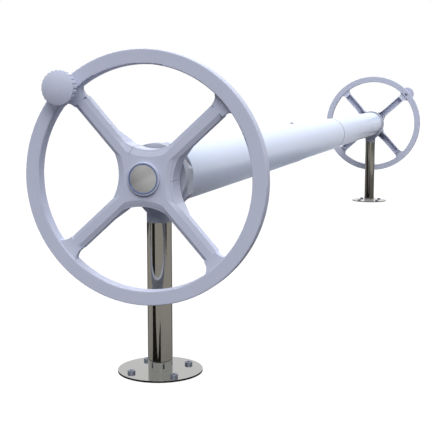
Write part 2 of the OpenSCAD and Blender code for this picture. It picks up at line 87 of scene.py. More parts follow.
# Where the light of the sky and the screen changes with height, as Z of the direction
SIDE_RISE = (-0.15, 0.10)
SKY_RISE = (0.35, 0.85)
TINT_RISE = (-0.2, 0.8)
SCREEN_UP = (0.0, 0.3)

# Where the screen's light changes to the right, as -Y of the direction
SCREEN_RIGHT = (0.10, 0.90)

# Noise of the finishes: its scale, its layers of detail, and how rough the finer layers make it
MOULD_FLOW = (14.0, 4.0, 0.6)
MOULD_GRAIN = (900.0, 2.0, 0.6)
COAT_PEEL = (420.0, 2.0, 0.5)
COAT_DRAWN = (160.0, 3.0, 0.6)
COAT_RUBBED = (9.0, 5.0, 0.65)
POST_LINES = (220.0, 3.0, 0.6)
PLATE_LINES = (9.0, 4.0, 0.7)
STEEL_HAZE = (18.0, 4.0, 0.6)
TOOL_MARKS = (900.0, 3.0, 0.6)
TOOL_STAIN = (70.0, 4.0, 0.6)
DISC_STROKES = (1.0, 3.0, 0.7)
DISC_BANDS = (1.0, 2.0, 0.5)
ENAMEL_MOTTLE = (260.0, 3.0, 0.6)
NYLON_CLOUD = (35.0, 4.0, 0.6)
NYLON_GRAIN = (700.0, 2.0, 0.6)

# Stretch of that noise along X, Y and Z: below 1 it is drawn out, above 1 it is pressed together
FLOW_STRETCH = (3, 1, 1)
DRAWN_STRETCH = (0.02, 1, 1)
RUBBED_STRETCH = (0.35, 1, 1)
POST_STRETCH = (1, 1, 0.01)
TURNED_STRETCH = (3, 0.3, 0.3)

# Depths of the finishes' relief, in metres
COAT_DEPTH = 0.00003
POLISHED_DEPTH = 0.000004
MACHINED_DEPTH = 0.00002
BRUSHED_DEPTH = 0.00001
ENAMEL_DEPTH = 0.00001
NYLON_DEPTH = 0.00003

# Shares of a joint line's width: its dark core to each side, and the fade beyond it
LINE_CORE = 0.3
LINE_FADE = 0.4

# Radii to which the finishes ease sharp edges, in metres, and how many rays feel for an edge
COAT_EDGE = 0.0004
POLISHED_EDGE = 0.0006
MACHINED_EDGE = 0.0004
NYLON_EDGE = 0.0006
EDGE_SAMPLES = 4

# Where wear begins and is full, as 1 less the cosine of the angle by which a direction is eased
WEAR_RISE = (0.01, 0.22)

# X of a direction at which a wheel's bevel begins to look shallower, and at which it fully does
LEAN_RISE = (0.55, 0.72)

# Numbers of the sockets of a Mix node that blends colours
MIX_SHARE, MIX_LOW, MIX_HIGH, MIX_RESULT = 0, 6, 7, 2


# Shader maths

class Value:
    """A number that changes over a surface. Python's operators add the Math nodes."""

    def __init__(self, nodes, socket):
        self.nodes = nodes
        self.socket = socket

    def maths(self, operation, *others):
        """The Math node of one operation on this value and others."""
        sockets = dict(enumerate((self, *others)))
        return self.nodes.add("ShaderNodeMath", {"operation": operation}, sockets)

    def __add__(self, other):
        return self.maths("ADD", other)

    __radd__ = __add__

    def __sub__(self, other):
        return self.maths("SUBTRACT", other)

    def __rsub__(self, other):
        return self.nodes.add("ShaderNodeMath", {"operation": "SUBTRACT"}, {0: other, 1: self})

    def __mul__(self, other):
        return self.maths("MULTIPLY", other)

    __rmul__ = __mul__

    def __pow__(self, other):
        return self.maths("POWER", other)

    def size(self):
        """Without its sign."""
        return self.maths("ABSOLUTE")

    def sign(self):
        """1 above zero and -1 below."""
        return self.maths("SIGN")

    def least(self, other):
        """The smaller of two values."""
        return self.maths("MINIMUM", other)

    def rise(self, start, end):
        """0 before start, 1 after end, and smooth between them."""
        return self.nodes.add(
            "ShaderNodeMapRange", {"interpolation_type": "SMOOTHSTEP"},
            {"Value": self, "From Min": start, "From Max": end})

    def band(self, middle, half, soft):
        """1 within half of the middle, fading over the soft width."""
        return 1 - (self - middle).size().rise(half, half + soft)


def radius(across, up):
    """Distance from the point where both values are zero."""
    return (across * across + up * up) ** 0.5


def tone(colour, share):
    """A colour made darker or lighter by a share."""
    return tuple(Vector(colour) * share)


class Nodes:
    """The nodes of one material or world."""

    def __init__(self, tree, output):
        self.tree = tree
        self.tree.nodes.clear()
        self.output = self.node(output)

    def feed(self, socket, value):
        """Links a value to a socket, or sets the socket where the value is plain."""
        if isinstance(value, Value):
            value = value.socket
        if isinstance(value, bpy.types.NodeSocket):
            self.tree.links.new(value, socket)
        elif socket.type == "RGBA" and len(value) == 3:
            socket.default_value = (*value, 1.0)
        else:
            socket.default_value = value

    def wrap(self, socket):
        """An output of numbers as a value, and any other output as it is."""
        return Value(self, socket) if socket.type == "VALUE" else socket

    def node(self, kind, settings=None, sockets=None):
        """A new node of one kind, with its settings first and then its sockets."""
        node = self.tree.nodes.new(kind)
        for name, value in (settings or {}).items():
            setattr(node, name, value)
        for name, value in (sockets or {}).items():
            self.feed(node.inputs[name], value)
        return node

    def add(self, kind, settings=None, sockets=None, out=0):
        """The output of a new node, or a list of them where out is several names."""
        node = self.node(kind, settings, sockets)
        if isinstance(out, tuple):
            return [self.wrap(node.outputs[name]) for name in out]
        return self.wrap(node.outputs[out])

    def show(self, shader):
        """Sends a shader to the output."""
        self.feed(self.output.inputs["Surface"], shader)

    def parts(self, vector):
        """X, Y and Z of a vector as values."""
        return self.add("ShaderNodeSeparateXYZ", {}, {0: vector}, ("X", "Y", "Z"))

    def blend(self, share, low, high):
        """A colour between two."""
        return self.add(
            "ShaderNodeMix", {"data_type": "RGBA"},
            {MIX_SHARE: share, MIX_LOW: low, MIX_HIGH: high}, MIX_RESULT)

    def seen(self):
        """1 for rays from the camera or off metal and glass, which see the background's own white."""
        rays = ("Is Camera Ray", "Is Glossy Ray", "Is Transmission Ray")
        camera, glossy, through = self.add("ShaderNodeLightPath", out=rays)
        return (camera + glossy + through).least(1.0)


class Finish(Nodes):
    """One procedural finish, built from nodes on a Principled surface."""

    def __init__(self, name):
        self.material = bpy.data.materials.new(name)
        self.material.use_nodes = True
        super().__init__(self.material.node_tree, "ShaderNodeOutputMaterial")
        self.surface = self.node("ShaderNodeBsdfPrincipled")
        self.show(self.surface.outputs[0])

    def vectors(self, operation, *inputs, out=0):
        """The Vector Math node of one operation."""
        return self.add("ShaderNodeVectorMath", {"operation": operation}, dict(enumerate(inputs)), out)

    def place(self):
        """Where a point lies on the reel at rest, in metres."""
        return self.add("ShaderNodeTexCoord", out="Object")

    def moved(self, vector, origin):
        """A position measured from another origin."""
        return self.vectors("SUBTRACT", vector, origin)

    def stretched(self, vector, scale):
        """A position scaled along X, Y and Z."""
        return self.vectors("MULTIPLY", vector, scale)

    def vector(self, x, y=0.0, z=0.0):
        """A vector of three values."""
        return self.add("ShaderNodeCombineXYZ", {}, {"X": x, "Y": y, "Z": z})

    def grain(self, vector, noise):
        """Noise from 0 to 1."""
        scale, detail, roughness = noise
        return self.add(
            "ShaderNodeTexNoise", {"noise_dimensions": "3D"},
            {"Vector": vector, "Scale": scale, "Detail": detail, "Roughness": roughness})

    def tones(self, share, colour, low, high):
        """A colour between two tones of one colour."""
        return self.blend(share, tone(colour, low), tone(colour, high))

    def soft_edge(self, reach):
        """The surface's direction with its sharp edges eased by a radius, in metres."""
        return self.add("ShaderNodeBevel", {"samples": EDGE_SAMPLES}, {"Radius": reach})

    def edge_wear(self, eased):
        """How far an eased direction departs from the true one: 0 on flats, up to 1 on edges."""
        true = self.add("ShaderNodeNewGeometry", out="Normal")
        match = self.vectors("DOT_PRODUCT", eased, true, out="Value")
        return (1 - match).rise(*WEAR_RISE)

    def line(self, y, z, start, end, width):
        """1 on a straight line between two points, seen along X."""
        way = Vector(end) - Vector(start)
        half = way.length / 2
        way.normalize()
        along = (y - start[0]) * way.x + (z - start[1]) * way.y
        across = (y - start[0]) * way.y - (z - start[1]) * way.x
        return across.band(0.0, width * LINE_CORE, width * LINE_FADE) * along.band(half, half, width)

    def flatter(self, normal, amount):
        """A direction that leans less from the X axis, where it leans less than about 55 degrees."""
        x, y, z = self.parts(normal)
        x = x + x.sign() * x.size().rise(*LEAN_RISE) * amount
        return self.vectors("NORMALIZE", self.vector(x, y, z))

    def relief(self, height, depth, normal=None):
        """The surface's direction disturbed by a height from 0 to 1 over a depth in metres."""
        sockets = {"Height": height, "Distance": depth, "Strength": 1.0}
        if normal is not None:
            sockets["Normal"] = normal
        return self.add("ShaderNodeBump", {}, sockets)

    def set(self, **sockets):
        """Feeds the surface's sockets, named in small letters with lines for spaces."""
        names = {socket.name.lower().replace(" ", "_"): socket for socket in self.surface.inputs}
        for name, value in sockets.items():
            self.feed(names[name], value)


# Finishes

def moulded_finish(settings, name, colour, joint_lines=(), bevelled=False):
    """Satin moulded plastic with a fine grain, faint flow marks, polished edges and mould joint lines."""
    dark, light, worn, line_tone = 0.955, 1.03, 1.10, 0.35
    worn_share, line_share = 0.30, 0.7
    flow_rough, grain_rough, worn_rough = 0.10, 0.06, 0.08
    grain_height, flow_height = 0.75, 0.25
    hub_fade = 0.04
    f = Finish(name)
    place = f.place()
    flow = f.grain(f.stretched(place, FLOW_STRETCH), MOULD_FLOW)
    grain = f.grain(place, MOULD_GRAIN)
    eased = f.soft_edge(settings.edge_ease)
    wear = f.edge_wear(eased)
    _x, y, z = f.parts(f.moved(place, (0, 0, AXLE_HEIGHT)))
    if bevelled:
        out = radius(y, z).rise(settings.hub_reach, settings.hub_reach + hub_fade)
        eased = f.flatter(eased, settings.hub_ease + out * (settings.spoke_ease - settings.hub_ease))
    plastic = f.tones(flow, colour, dark, light)
    for start, end in joint_lines:
        line = f.line(y, z, start, end, settings.joint_width)
        plastic = f.blend(line * line_share, plastic, tone(colour, line_tone))
    rough = (flow - 0.5) * flow_rough + (grain - 0.5) * grain_rough - wear * worn_rough
    f.set(
        base_color=f.blend(wear * worn_share, plastic, tone(colour, worn)),
        roughness=settings.moulded_roughness + rough,
        normal=f.relief(grain * grain_height + flow * flow_height, settings.grain_depth, eased),
        specular_ior_level=0.12)
    return f.material


def coated_finish(settings, name, end_x=None):
    """Pale powder coat on drawn tube: orange peel, faint draw lines and light rubbing; at end_x a dark band,
    painted shade of the joint's gap over a bare cut edge.
    """
    scuff_rise = (0.58, 0.78)
    scuff_share, scuff_tone, scuff_rough, peel_rough = 0.35, 0.93, 0.10, 0.06
    seam_shade_core, seam_shade_even, seam_shade_mottle = 0.8, 0.75, 0.25
    peel_height, drawn_height = 0.6, 0.4
    f = Finish(name)
    place = f.place()
    peel = f.grain(place, COAT_PEEL)
    drawn = f.grain(f.stretched(place, DRAWN_STRETCH), COAT_DRAWN)
    rubbed = f.grain(f.stretched(place, RUBBED_STRETCH), COAT_RUBBED)
    scuffs = rubbed.rise(*scuff_rise)
    coat = f.tones(scuffs * scuff_share, settings.tube_colour, 1.0, scuff_tone)
    if end_x is not None:
        # Painted shade of the gap where the tubes meet, over a bare cut edge: dark towards end_x, mottled by
        # the rubbed noise
        x, _y, _z = f.parts(place)
        seam_shade = x.rise(end_x - settings.seam_shade_width, end_x - settings.seam_shade_width * seam_shade_core)
        coat = f.blend(seam_shade * (seam_shade_even + rubbed * seam_shade_mottle), coat, tuple(settings.seam_shade_colour))
    f.set(
        base_color=coat,
        roughness=settings.tube_roughness + scuffs * scuff_rough + (peel - 0.5) * peel_rough,
        normal=f.relief(peel * peel_height + drawn * drawn_height, COAT_DEPTH, f.soft_edge(COAT_EDGE)),
        specular_ior_level=0.15,
        coat_weight=0.05, coat_roughness=0.12)
    return f.material


def polished_finish(settings, name, centre=None):
    """Polished steel. Its fine lines run up a post, or round the centre of a plate."""
    dark, light, haze_share, worn_share = 0.95, 1.05, 0.6, 0.4
    haze_rough, line_rough, worn_rough = 0.035, 0.03, 0.05
    ring_stretch = 90.0
    f = Finish(name)
    place = f.place()
    if centre is None:
        lines = f.grain(f.stretched(place, POST_STRETCH), POST_LINES)
    else:
        x, y, _z = f.parts(f.moved(place, centre))
        lines = f.grain(f.vector(radius(x, y) * ring_stretch), PLATE_LINES)
    haze = f.grain(place, STEEL_HAZE)
    eased = f.soft_edge(POLISHED_EDGE)
    wear = f.edge_wear(eased)
    f.set(
        base_color=f.tones(haze * haze_share + wear * worn_share, settings.steel_colour, dark, light),
        metallic=1.0,
        roughness=settings.polish_roughness + haze * haze_rough + lines * line_rough + wear * worn_rough,
        normal=f.relief(lines, POLISHED_DEPTH, eased))
    return f.material


def machined_finish(name, colour, roughness, stretch=(1, 1, 1)):
    """Machined or rolled steel of screws, pins, washers and the axle."""
    dark, light, worn_share, stain_share = 0.92, 1.12, 0.5, 0.3
    tool_rough, stain_rough, worn_rough = 0.12, 0.08, 0.08
    f = Finish(name)
    place = f.place()
    tooling = f.grain(f.stretched(place, stretch), TOOL_MARKS)
    stain = f.grain(place, TOOL_STAIN)
    eased = f.soft_edge(MACHINED_EDGE)
    wear = f.edge_wear(eased)
    f.set(
        base_color=f.tones(wear * worn_share + stain * stain_share, colour, dark, light),
        metallic=1.0,
        roughness=roughness + tooling * tool_rough + stain * stain_rough - wear * worn_rough,
        normal=f.relief(tooling, MACHINED_DEPTH, eased))
    return f.material


def disc_finish(settings, end):
    """The cap's brushed disc: straight grain and broad bands, and a painted reflection that makes it lighter
    to one side.
    """
    stroke_along, stroke_across = 30.0, 1500.0
    band_along, band_across, band_rise = 6.0, 45.0, (0.30, 0.70)
    # Painted reflection: how the disc's tone grows lighter upwards and towards -Y
    reflection_across, reflection_up, reflection_rise = 0.8, 0.6, (-0.034, 0.016)
    stroke_share, band_share, reflection_share = 0.3, 0.2, 0.5
    dark, light = 0.34, 1.20
    smooth, stroke_rough = 0.30, 0.16
    f = Finish(end + "_brushed_disc")
    _x, y, z = f.parts(f.moved(f.place(), (0, 0, AXLE_HEIGHT)))
    tilt = math.radians(settings.grain_angle)
    along = y * math.cos(tilt) + z * math.sin(tilt)
    across = z * math.cos(tilt) - y * math.sin(tilt)
    brushed = f.grain(f.vector(along * stroke_along, across * stroke_across), DISC_STROKES)
    bands = f.grain(f.vector(along * band_along, across * band_across), DISC_BANDS).rise(*band_rise)
    # Painted reflection: lighter upwards and towards -Y, fixed to the disc
    painted_reflection = (z * reflection_up - y * reflection_across).rise(*reflection_rise)
    share = brushed * stroke_share + bands * band_share + painted_reflection * reflection_share
    f.set(
        base_color=f.tones(share, settings.disc_colour, dark, light),
        metallic=0.85,
        roughness=smooth + brushed * stroke_rough,
        normal=f.relief(brushed, BRUSHED_DEPTH))
    return f.material


def ring_finish(settings):
    """Baked enamel of the ring on the cap's disc."""
    dark, light = 0.82, 1.16
    smooth, mottle_rough = 0.30, 0.12
    f = Finish("ring_enamel")
    mottle = f.grain(f.place(), ENAMEL_MOTTLE)
    f.set(
        base_color=f.tones(mottle, settings.ring_colour, dark, light),
        roughness=smooth + mottle * mottle_rough,
        normal=f.relief(mottle, ENAMEL_DEPTH),
        coat_weight=0.4, coat_roughness=0.1)
    return f.material


def nylon_finish():
    """Grey nylon of the bushes and the tube plugs."""
    dark, light = (0.27, 0.28, 0.31), (0.33, 0.34, 0.37)
    smooth, cloud_rough, grain_rough = 0.42, 0.10, 0.05
    f = Finish("grey_nylon")
    place = f.place()
    cloud = f.grain(place, NYLON_CLOUD)
    grain = f.grain(place, NYLON_GRAIN)
    f.set(
        base_color=f.blend(cloud, dark, light),
        roughness=smooth + cloud * cloud_rough + grain * grain_rough,
        normal=f.relief(grain, NYLON_DEPTH, f.soft_edge(NYLON_EDGE)))
    return f.material


def both(*parts):
    """Names of pieces that stand at both ends."""
    return [end + part for end in ENDS for part in parts]


def dress(material, nodes):
    """Gives a material to CAD nodes."""
    for name in nodes:
        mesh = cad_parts[name].data
        mesh.materials.clear()
        mesh.materials.append(material)


# Pieces

def put(name, data):
    """A new object in the scene."""
    thing = bpy.data.objects.new(name, data)
    bpy.context.scene.collection.objects.link(thing)
    return thing


def flat(name, material, points, faces):
    """A flat piece of the stage."""
    mesh = bpy.data.meshes.new(name)
    mesh.from_pydata(points, [], faces)
    mesh.materials.append(material)
    piece = put(name, mesh)
    return piece


def lathe(name, profile, centre, outward, steps=96):
    """A closed ring spun round an axis along X, from (radius, height outward) pairs."""
    bm = bmesh.new()
    rows = []
    for i in range(steps):
        a = 2 * math.pi * i / steps
        rows.append([
            bm.verts.new((centre[0] + outward * h, centre[1] + r * math.cos(a), centre[2] + r * math.sin(a)))
            for r, h in profile])
    count = len(profile)
    for i in range(steps):
        here, after = rows[i], rows[(i + 1) % steps]
        for j in range(count):
            k = (j + 1) % count
            bm.faces.new((here[j], here[k], after[k], after[j]))
    bmesh.ops.recalc_face_normals(bm, faces=bm.faces)
    mesh = bpy.data.meshes.new(name)
    bm.to_mesh(mesh)
    bm.free()
    for face in mesh.polygons:
        face.use_smooth = True
    return put(name, mesh)


def enamel_ring(settings, end):
    """The raised ring near the edge of one cap's disc."""
    face_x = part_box(end + "_cap_disc")[0 if end == "near" else 1][0]
    middle, half, proud = settings.ring_radius, settings.ring_width / 2, settings.ring_proud
    round_off = proud / 2
    profile = [
        (middle - half, -proud), (middle - half, proud - round_off), (middle - half + round_off, proud),
        (middle + half - round_off, proud), (middle + half, proud - round_off), (middle + half, -proud)]
    piece = lathe(end + "_cap_ring", profile, (face_x, 0.0, AXLE_HEIGHT), OUTWARD[end])
    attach(piece, end + "_roller")
    return piece


# Settings

class ReelFinishes(bpy.types.PropertyGroup):
    """Colours and textures of the reel."""

    moulded_colour: FloatVectorProperty(
        name="Moulded colour", description="Colour of the handwheels, caps and knobs",
        subtype="COLOR", size=3, min=0, max=1, default=(0.52, 0.55, 0.685))
    # The head colour is the moulded plastic made darker: painted shade for the heads' place behind the
    # handwheels
    shaded_head_colour: FloatVectorProperty(
        name="Head colour", description="Colour of the bearing heads",
        subtype="COLOR", size=3, min=0, max=1, default=(0.42, 0.44, 0.52))
    moulded_roughness: FloatProperty(
        name="Moulded roughness", description="How dull the moulded plastic is",
        subtype="FACTOR", min=0, max=1, default=0.46)
    grain_depth: FloatProperty(
        name="Grain depth", description="Depth of the moulded plastic's fine grain",
        subtype="DISTANCE", min=0, max=0.001, default=0.000012)
    edge_ease: FloatProperty(
        name="Eased edges", description="Radius to which moulded edges look rounded",
        subtype="DISTANCE", min=0, max=0.005, default=0.0014)
    hub_ease: FloatProperty(
        name="Hub bevel ease", description="How much shallower the hubs' bevels look, 0 as they are",
        min=0, max=5, default=0.7)
    spoke_ease: FloatProperty(
        name="Spoke bevel ease", description="How much shallower the spokes' bevels look, 0 as they are",
        min=0, max=5, default=2.4)
    hub_reach: FloatProperty(
        name="Hub reach", description="Distance from the axle at which the spokes' own ease begins",
        subtype="DISTANCE", min=0.01, max=0.2, default=0.075)
    joint_width: FloatProperty(
        name="Joint line", description="Width of the mould's joint lines on a hub",
        subtype="DISTANCE", min=0.0001, max=0.005, default=0.0014)
    tube_colour: FloatVectorProperty(
        name="Tube colour", description="Colour of the roller tubes' coat",
        subtype="COLOR", size=3, min=0, max=1, default=(0.62, 0.69, 0.86))
    tube_roughness: FloatProperty(
        name="Tube roughness", description="How dull the tubes' coat is",
        subtype="FACTOR", min=0, max=1, default=0.32)
    # The tube end colour and width make a dark band at the middle tube's end: painted shade of the joint's
    # gap over a bare cut edge
    seam_shade_colour: FloatVectorProperty(
        name="Tube end colour", description="Colour of the rubbed lip at the end of the middle tube",
        subtype="COLOR", size=3, min=0, max=1, default=(0.11, 0.12, 0.14))
    seam_shade_width: FloatProperty(
        name="Tube end width", description="Width of that lip",
        subtype="DISTANCE", min=0.001, max=0.05, default=0.015)
    steel_colour: FloatVectorProperty(
        name="Steel colour", description="Colour of the polished posts and plates",
        subtype="COLOR", size=3, min=0, max=1, default=(0.405, 0.405, 0.392))
    polish_roughness: FloatProperty(
        name="Polish", description="Roughness of the polished steel",
        subtype="FACTOR", min=0, max=1, default=0.045)
    screw_colour: FloatVectorProperty(
        name="Screw colour", description="Colour of the screws, knob bolts and knob nuts",
        subtype="COLOR", size=3, min=0, max=1, default=(0.22, 0.24, 0.30))
    turned_colour: FloatVectorProperty(
        name="Turned steel colour", description="Colour of the axles, their bolts and the pins",
        subtype="COLOR", size=3, min=0, max=1, default=(0.55, 0.55, 0.54))


class ReelTrim(bpy.types.PropertyGroup):
    """Sizes and colours of the hub caps' discs and rings."""

    disc_colour: FloatVectorProperty(
        name="Disc colour", description="Colour of the brushed disc",
        subtype="COLOR", size=3, min=0, max=1, default=(0.56, 0.565, 0.575))
    grain_angle: FloatProperty(
        name="Grain angle", description="Direction of the brushed lines, in degrees",
        min=-90, max=90, default=-25)
    ring_colour: FloatVectorProperty(
        name="Ring colour", description="Colour of the enamel ring",
        subtype="COLOR", size=3, min=0, max=1, default=(0.040, 0.115, 0.36))
    ring_radius: FloatProperty(
        name="Ring radius", description="Middle radius of the enamel ring",
        subtype="DISTANCE", min=0.01, max=0.03, default=0.0286)
    ring_width: FloatProperty(
        name="Ring width", description="Width of the enamel ring",
        subtype="DISTANCE", min=0.0005, max=0.01, default=0.0022)
    ring_proud: FloatProperty(
        name="Ring height", description="How far the ring stands out of the disc",
        subtype="DISTANCE", min=0.00005, max=0.001, default=0.0002)


class ReelStudio(bpy.types.PropertyGroup):
    """Camera, floor, lamps, mats and the light card."""

    lens: FloatProperty(
        name="Lens", description="Focal length", unit="CAMERA", min=10, max=300, default=77.85)
    film_width: FloatProperty(
        name="Film width", description="Width of the camera's frame",
        unit="CAMERA", min=1, max=100, default=36)
    camera_place: FloatVectorProperty(
        name="Camera place", description="Where the camera stands",
        subtype="TRANSLATION", size=3, default=(-3.3628, -0.6553, 0.5709))
    camera_yaw: FloatProperty(
        name="Camera yaw", description="Turn of the view from +X towards +Y",
        subtype="ANGLE", default=0.2947)
    camera_pitch: FloatProperty(
        name="Camera pitch", description="How far the camera looks down",
        subtype="ANGLE", default=0.1318)
    view_reach: FloatProperty(
        name="View reach", description="How far the camera sees",
        subtype="DISTANCE", min=10, max=1000, default=300)
    floor_size: FloatProperty(
        name="Floor size", description="Width of the floor", subtype="DISTANCE", min=5, max=200, default=60)
    floor_colour: FloatVectorProperty(
        name="Floor colour", description="How much of the light the floor sends back up",
        subtype="COLOR", size=3, min=0, max=1, default=(0.09, 0.09, 0.10))
    floor_white: FloatProperty(
        name="Floor white", description="White that the floor shows by itself, where 1 is white",
        subtype="FACTOR", min=0, max=1, default=0.93)
    key_power: FloatProperty(
        name="Front lamp", description="Power of the lamp high on the near side",
        min=0, max=20, default=1.34)
    back_power: FloatProperty(
        name="Back lamp", description="Power of the lamp high on the far side",
        min=0, max=20, default=0.5)
    lamp_angle: FloatProperty(
        name="Lamp angle", description="How broad the two lamps look from the reel",
        subtype="ANGLE", min=0, max=3.1, default=0.6)
    sky_level: FloatProperty(
        name="Sky level", description="Light from above that fills the studio", min=0, max=5, default=2.15)
    side_level: FloatProperty(
        name="Side level", description="Light that reaches the reel from the sides",
        min=0, max=5, default=0.06)
    screen_level: FloatProperty(
        name="Screen level", description="Light of the soft screen on the right", min=0, max=5, default=0.22)
    high_tint: FloatVectorProperty(
        name="High tint", description="Tint of the light from above",
        subtype="COLOR", size=3, min=0, max=1, default=(0.97, 0.985, 1.0))
    low_tint: FloatVectorProperty(
        name="Low tint", description="Tint of the light from the sides",
        subtype="COLOR", size=3, min=0, max=1, default=(1.0, 0.99, 0.98))
    # The mat colours are painted reflections: the steel shows them in place of a darker room
    mat_colour: FloatVectorProperty(
        name="Mat colour", description="Colour of the near post's floor mat, which shows in polished steel",
        subtype="COLOR", size=3, min=0, max=1, default=(0.30, 0.28, 0.25))
    far_mat_level: FloatProperty(
        name="Far mat", description="How light the far post's mat is beside the near one's",
        subtype="FACTOR", min=0, max=1, default=0.4)
    # The streak colour paints shadows of the reel on the floor, a dark reflection beside them and contact
    # shadows round the base plates, all seen only in steel
    shadow_and_reflection_colour: FloatVectorProperty(
        name="Streak colour", description="Colour of the streaks and of the rings round the base plates",
        subtype="COLOR", size=3, min=0, max=1, default=(0.012, 0.011, 0.010))
    mat_reach: FloatProperty(
        name="Mat reach", description="How far the mat in front of a post reaches",
        subtype="DISTANCE", min=0.1, max=10, default=5.0)
    plate_gap: FloatProperty(
        name="Plate gap", description="Gap between a base plate and the dark ring round it",
        subtype="DISTANCE", min=0, max=0.1, default=0.0005)
    plate_mat: FloatProperty(
        name="Plate mat", description="Width of the dark ring round a base plate",
        subtype="DISTANCE", min=0.001, max=1, default=0.018)
    card_colour: FloatVectorProperty(
        name="Card colour", description="Colour of the light card under the roller",
        subtype="COLOR", size=3, min=0, max=1, default=(0.66, 0.66, 0.66))
    card_width: FloatProperty(
        name="Card width", description="Width of the light card",
        subtype="DISTANCE", min=0.05, max=5, default=0.9)
    card_start: FloatProperty(
        name="Card start", description="Where the card begins along X", subtype="DISTANCE", default=-1.4)
    card_end: FloatProperty(
        name="Card end", description="Where the card ends along X", subtype="DISTANCE", default=0.9)


# Operators

class REEL_OT_studio(bpy.types.Operator):
    """Set up the camera, the pale floor, the soft lamps, the mats that paint reflections and shadows into
    the steel, and the light card
    """

    bl_idname = "reel.studio"
    bl_label = "Studio"

    def execute(self, context):
        studio = context.scene.reel_studio
        self.camera(context, studio)
        self.floor(studio)
        self.world(context, studio)
        self.lamps(studio)
        self.mats(studio)
        self.card(studio)
        context.scene.view_settings.view_transform = "Standard"
        return {"FINISHED"}

    def camera(self, context, studio):
        """The camera at the photograph's place."""
        data = bpy.data.cameras.new("reel_camera")
        data.sensor_width = studio.film_width
        data.lens = studio.lens
        data.clip_end = studio.view_reach
        yaw, pitch = studio.camera_yaw, studio.camera_pitch
        ahead = Vector((math.cos(pitch) * math.cos(yaw), math.cos(pitch) * math.sin(yaw), -math.sin(pitch)))
        right = ahead.cross(Vector((0, 0, 1))).normalized()
        up = right.cross(ahead)
        turn = Matrix((right, up, -ahead)).transposed().to_4x4()
        camera = put("reel_camera", data)
        camera.matrix_world = Matrix.Translation(Vector(studio.camera_place)) @ turn
        context.scene.camera = camera

    def floor(self, studio):
        """A plain pale floor that keeps the reel's shadow."""
        f = self.matt("studio_floor", studio.floor_colour)
        white = f.seen() * studio.floor_white
        glow = f.add("ShaderNodeEmission", {}, {"Color": (1, 1, 1), "Strength": white})
        f.show(f.add("ShaderNodeAddShader", {}, {0: f.surface.outputs[0], 1: glow}))
        half = studio.floor_size / 2
        corners = self.corners(-half, half, studio.floor_size)
        self.sheet("studio_floor", f.material, corners, FLOOR_HEIGHT)

    def world(self, context, studio):
        """White to the camera, and a soft sky that is brighter above, with a soft screen on the right."""
        world = bpy.data.worlds.new("studio")
        world.use_nodes = True
        f = Nodes(world.node_tree, "ShaderNodeOutputWorld")
        _x, left, up = f.parts(f.add("ShaderNodeTexCoord", out="Generated"))
        side = up.rise(*SIDE_RISE) * studio.side_level
        sky = up.rise(*SKY_RISE) * (studio.sky_level - studio.side_level)
        screen = (-1 * left).rise(*SCREEN_RIGHT) * up.rise(*SCREEN_UP) * studio.screen_level
        tint = f.blend(up.rise(*TINT_RISE), studio.low_tint, studio.high_tint)
        light = f.add("ShaderNodeBackground", {}, {"Color": tint, "Strength": side + sky + screen})
        white = f.add("ShaderNodeBackground", {}, {"Color": (1, 1, 1), "Strength": 1.0})
        f.show(f.add("ShaderNodeMixShader", {}, {0: f.seen(), 1: light, 2: white}))
        context.scene.world = world

    def lamps(self, studio):
        """Two broad soft lamps high on both sides, so that both handwheels are lit alike."""
        for name, aim, power in (
            ("key_lamp", KEY_AIM, studio.key_power),
            ("back_lamp", BACK_AIM, studio.back_power),
        ):
            data = bpy.data.lights.new(name, "SUN")
            data.energy = power
            data.angle = studio.lamp_angle
            lamp = put(name, data)
            lamp.location.z = LAMP_HEIGHT
            lamp.rotation_euler = Vector(aim).to_track_quat("-Z", "Y").to_euler()

    def mats(self, studio):
        """At each post, seen only in polished steel: a brown mat, a painted reflection of a darker room;
        dark streaks, a painted shadow of the reel on the floor and a painted dark reflection; and a dark
        ring, a painted contact shadow round the base plate.
        """
        brown = {"near": studio.mat_colour, "far": tone(studio.mat_colour, studio.far_mat_level)}
        dark = self.matt("dark_mat", studio.shadow_and_reflection_colour).material
        camera_foot = Vector(studio.camera_place[:2])
        near_foot = Vector((POST_X["near"], 0.0))
        fan = [(studio.mat_reach, turn) for turn in range(-MAT_HALF_TURN, MAT_HALF_TURN + 1, MAT_STEP)]
        fan += [(MAT_INNER, MAT_HALF_TURN), (MAT_INNER, -MAT_HALF_TURN)]
        for end in ENDS:
            foot = Vector((POST_X[end], 0.0))
            look = math.atan2(camera_foot.y - foot.y, camera_foot.x - foot.x)
            stretch = (camera_foot - foot).length / (camera_foot - near_foot).length
            drop = FAR_DROP if end == "far" else 0.0
            floor_mat = self.matt(end + "_floor_mat", brown[end]).material
            for name, material, rays, height in (
                ("floor_mat_", floor_mat, fan, MAT_HEIGHT),
                ("dark_mat_", dark, STREAK, STREAK_HEIGHT),
                ("side_mat_", dark, SIDE_STREAK, STREAK_HEIGHT),
            ):
                outline = []
                for reach, degrees in rays:
                    turn = look + math.radians(degrees)
                    out = reach * stretch
                    outline.append((foot.x + out * math.cos(turn), foot.y + out * math.sin(turn)))
                self.seen_only(self.sheet(name + end, material, outline, height - drop), "glossy")
            low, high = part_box(end + "_base_plate")
            inner = (high[0] - low[0]) / 2 + studio.plate_gap
            self.ring_mat("edge_mat_" + end, dark, foot, (inner, inner + studio.plate_mat))

    def ring_mat(self, name, material, centre, radii, count=64):
        """A ring on the floor, seen only in the steel that stands over it: a painted contact shadow round a
        base plate.
        """
        turns = [2 * math.pi * i / count for i in range(count)]
        points = [
            (centre.x + r * math.cos(a), centre.y + r * math.sin(a), PLATE_MAT_HEIGHT)
            for r in radii for a in turns]
        faces = [(i, (i + 1) % count, count + (i + 1) % count, count + i) for i in range(count)]
        self.seen_only(flat(name, material, points, faces), "glossy")

